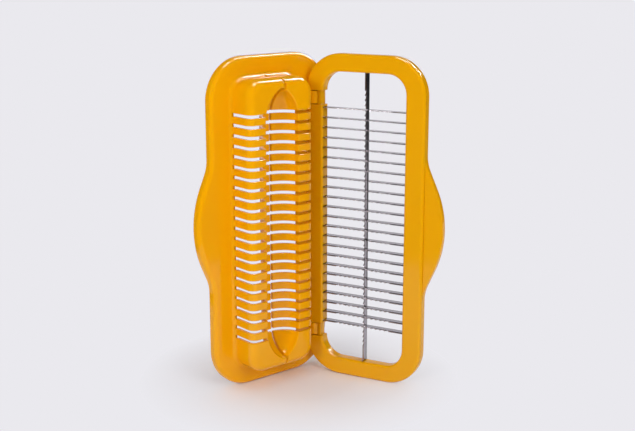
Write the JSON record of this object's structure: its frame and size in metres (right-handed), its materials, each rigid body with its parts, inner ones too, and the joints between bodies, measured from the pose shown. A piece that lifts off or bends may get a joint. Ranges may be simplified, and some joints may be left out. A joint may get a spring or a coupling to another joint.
{
  "type": "sausage cutter",
  "caption": "Hinged hand cutter: a slotted tray with a long channel for a sausage, and a frame of parallel serrated blades crossed by one long blade.",
  "frame": {"origin": "centre of the footprint's box on the surface that the open cutter stands on", "axes": "+Z along the hinge, from the end the cutter stands on to the other; +Y out of the tray's open back; the tray's face looks along -Y and its long outer side lies towards -X"},
  "size_m": [0.1536, 0.1183, 0.262],
  "materials": {
    "tray_plastic": "glossy moulded, orange-yellow",
    "frame_plastic": "glossy moulded, orange-yellow",
    "blade_steel": "rolled strip, fine grain along the blade",
    "pin_steel": "drawn wire, bright"
  },
  "bodies": {
    "tray": {"base_tray": "tray_plastic"},
    "blade_frame": {"frame_cover": "frame_plastic", "frame_ring": "frame_plastic", "long_blade": "blade_steel", "cross_blade_01": "blade_steel", "cross_blade_02": "blade_steel", "cross_blade_03": "blade_steel", "cross_blade_04": "blade_steel", "cross_blade_05": "blade_steel", "cross_blade_06": "blade_steel", "cross_blade_07": "blade_steel", "cross_blade_08": "blade_steel", "cross_blade_09": "blade_steel", "cross_blade_10": "blade_steel", "cross_blade_11": "blade_steel", "cross_blade_12": "blade_steel", "cross_blade_13": "blade_steel", "cross_blade_14": "blade_steel", "cross_blade_15": "blade_steel", "cross_blade_16": "blade_steel", "cross_blade_17": "blade_steel", "cross_blade_18": "blade_steel", "cross_blade_19": "blade_steel", "cross_blade_20": "blade_steel", "cross_blade_21": "blade_steel", "cross_blade_22": "blade_steel", "cross_blade_23": "blade_steel", "hinge_pin_lower": "pin_steel", "hinge_pin_upper": "pin_steel"}
  },
  "joints": [
    {"name": "frame_hinge", "type": "hinge", "parent": "tray", "child": "blade_frame", "pos_m": [0.03277, 0.04655, 0.131], "axis": [0, 0, 1], "range_deg": [-111.2, 68.8]}
  ]
}
